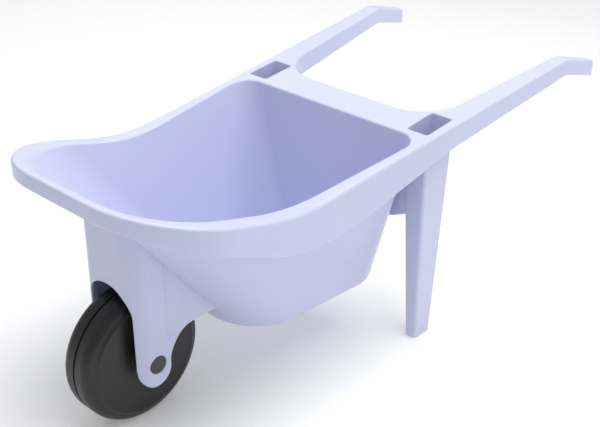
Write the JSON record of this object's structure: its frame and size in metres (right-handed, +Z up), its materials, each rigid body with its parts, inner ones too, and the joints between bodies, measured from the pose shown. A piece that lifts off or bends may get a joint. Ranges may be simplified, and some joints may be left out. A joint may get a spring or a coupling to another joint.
{
  "type": "garden cart",
  "caption": "Child's one-wheeled garden cart: a moulded tub with a raised front lip, two long handles, two hollow legs and a fork that holds a free-rolling wheel.",
  "frame": {"origin": "on the ground, in the middle of the overall length and width", "axes": "+X towards the handle grips, -X towards the wheel, +Y left, +Z up"},
  "size_m": [0.748, 0.3424, 0.3117],
  "materials": {
    "body_plastic": "smooth moulded polypropylene, pale periwinkle blue",
    "wheel_plastic": "satin black moulded plastic",
    "axle_plastic": "dark slate moulded plastic"
  },
  "bodies": {
    "body_moulding": {"tub_floor": "body_plastic", "tub_rear_wall": "body_plastic", "tub_front_scoop": "body_plastic", "left_tub_side": "body_plastic", "right_tub_side": "body_plastic", "front_lip": "body_plastic", "left_rim": "body_plastic", "right_rim": "body_plastic", "rear_rail": "body_plastic", "left_handle": "body_plastic", "right_handle": "body_plastic", "left_leg": "body_plastic", "right_leg": "body_plastic", "rear_apron": "body_plastic", "fork_front_plate": "body_plastic", "left_fork_cheek": "body_plastic", "right_fork_cheek": "body_plastic", "axle_pin": "axle_plastic", "axle_end_cap": "axle_plastic"},
    "wheel": {"wheel_hub": "wheel_plastic", "left_wheel_half": "wheel_plastic", "right_wheel_half": "wheel_plastic"}
  },
  "joints": [
    {"name": "wheel_spin", "type": "hinge", "parent": "body_moulding", "child": "wheel", "pos_m": [-0.293, 0, 0.081], "axis": [0, 1, 0], "continuous": true}
  ]
}
